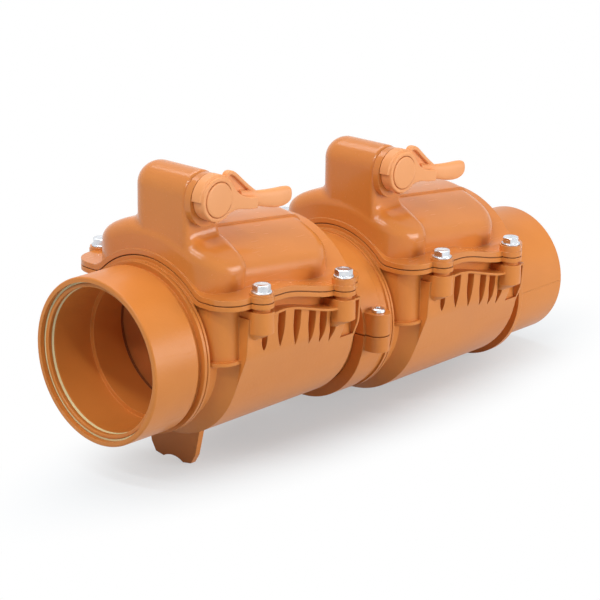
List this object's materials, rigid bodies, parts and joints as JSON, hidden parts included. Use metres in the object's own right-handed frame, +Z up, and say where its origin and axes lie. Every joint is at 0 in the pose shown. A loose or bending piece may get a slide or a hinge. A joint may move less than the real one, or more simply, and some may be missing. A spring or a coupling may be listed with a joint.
{
  "type": "backwater valve",
  "caption": "Inline double backwater valve for a DN110 drain, with tilted flaps, bolted saddle lids, lock levers, a push-fit inlet socket and a plain outlet spigot.",
  "frame": {"origin": "centre of the inlet socket's mouth, on the inlet pipe's axis", "axes": "+X along the flow, from the inlet socket to the outlet spigot; +Z up, towards the lids; the levers are on the -Y side"},
  "size_m": [0.5, 0.189, 0.2365],
  "materials": {
    "body": "satin moulded",
    "lid": "gloss moulded",
    "lever": "satin moulded",
    "flap": "satin moulded",
    "shaft": "satin",
    "rubber": "matt",
    "lip_seal": "matt",
    "zinc": "bright zinc",
    "steel": "stainless",
    "brass": "machined"
  },
  "bodies": {
    "housing": {"inlet_body": "body", "outlet_body": "body", "inlet_lip_seal": "lip_seal", "joint_seal": "rubber", "clamp_upper": "body", "clamp_lower": "body", "clamp_bolts": "zinc", "clamp_nuts": "zinc", "lid_1": "lid", "lid_gasket_1": "rubber", "lid_bolts_1": "zinc", "lid_inserts_1": "brass", "hinge_pin_1": "steel", "lid_2": "lid", "lid_gasket_2": "rubber", "lid_bolts_2": "zinc", "lid_inserts_2": "brass", "hinge_pin_2": "steel"},
    "flap_body_1": {"flap_1": "flap", "flap_seal_1": "rubber"},
    "flap_body_2": {"flap_2": "flap", "flap_seal_2": "rubber"},
    "lever_body_1": {"lever_1": "lever", "lever_screw_1": "steel", "lever_cap_1": "lever", "lock_shaft_1": "shaft", "shaft_seals_1": "rubber"},
    "lever_body_2": {"lever_2": "lever", "lever_screw_2": "steel", "lever_cap_2": "lever", "lock_shaft_2": "shaft", "shaft_seals_2": "rubber"},
    "slide_body_1": {"lock_slide_1": "shaft"},
    "slide_body_2": {"lock_slide_2": "shaft"}
  },
  "joints": [
    {"name": "flap_swing_1", "type": "hinge", "parent": "housing", "child": "flap_body_1", "pos_m": [0.07711, 0, 0.063], "axis": [0, -1, 0], "range_deg": [0, 62]},
    {"name": "flap_swing_2", "type": "hinge", "parent": "housing", "child": "flap_body_2", "pos_m": [0.28511, 0, 0.045], "axis": [0, -1, 0], "range_deg": [0, 62]},
    {"name": "lever_turn_1", "type": "hinge", "parent": "housing", "child": "lever_body_1", "pos_m": [0.072, -0.045, 0.1195], "axis": [0, 1, 0], "range_deg": [-90, 0]},
    {"name": "lever_turn_2", "type": "hinge", "parent": "housing", "child": "lever_body_2", "pos_m": [0.28, -0.045, 0.1015], "axis": [0, 1, 0], "range_deg": [-90, 0]},
    {"name": "lock_slide_move_1", "type": "slide", "parent": "housing", "child": "slide_body_1", "axis": [0, 0, 1], "range_m": [-0.01131, 0]},
    {"name": "lock_slide_move_2", "type": "slide", "parent": "housing", "child": "slide_body_2", "axis": [0, 0, 1], "range_m": [-0.01131, 0]}
  ],
  "couplings": [
    {"joint": "lock_slide_move_1", "follows": "lever_turn_1", "m_per_rad": 0.0072025},
    {"joint": "lock_slide_move_2", "follows": "lever_turn_2", "m_per_rad": 0.0072025}
  ]
}
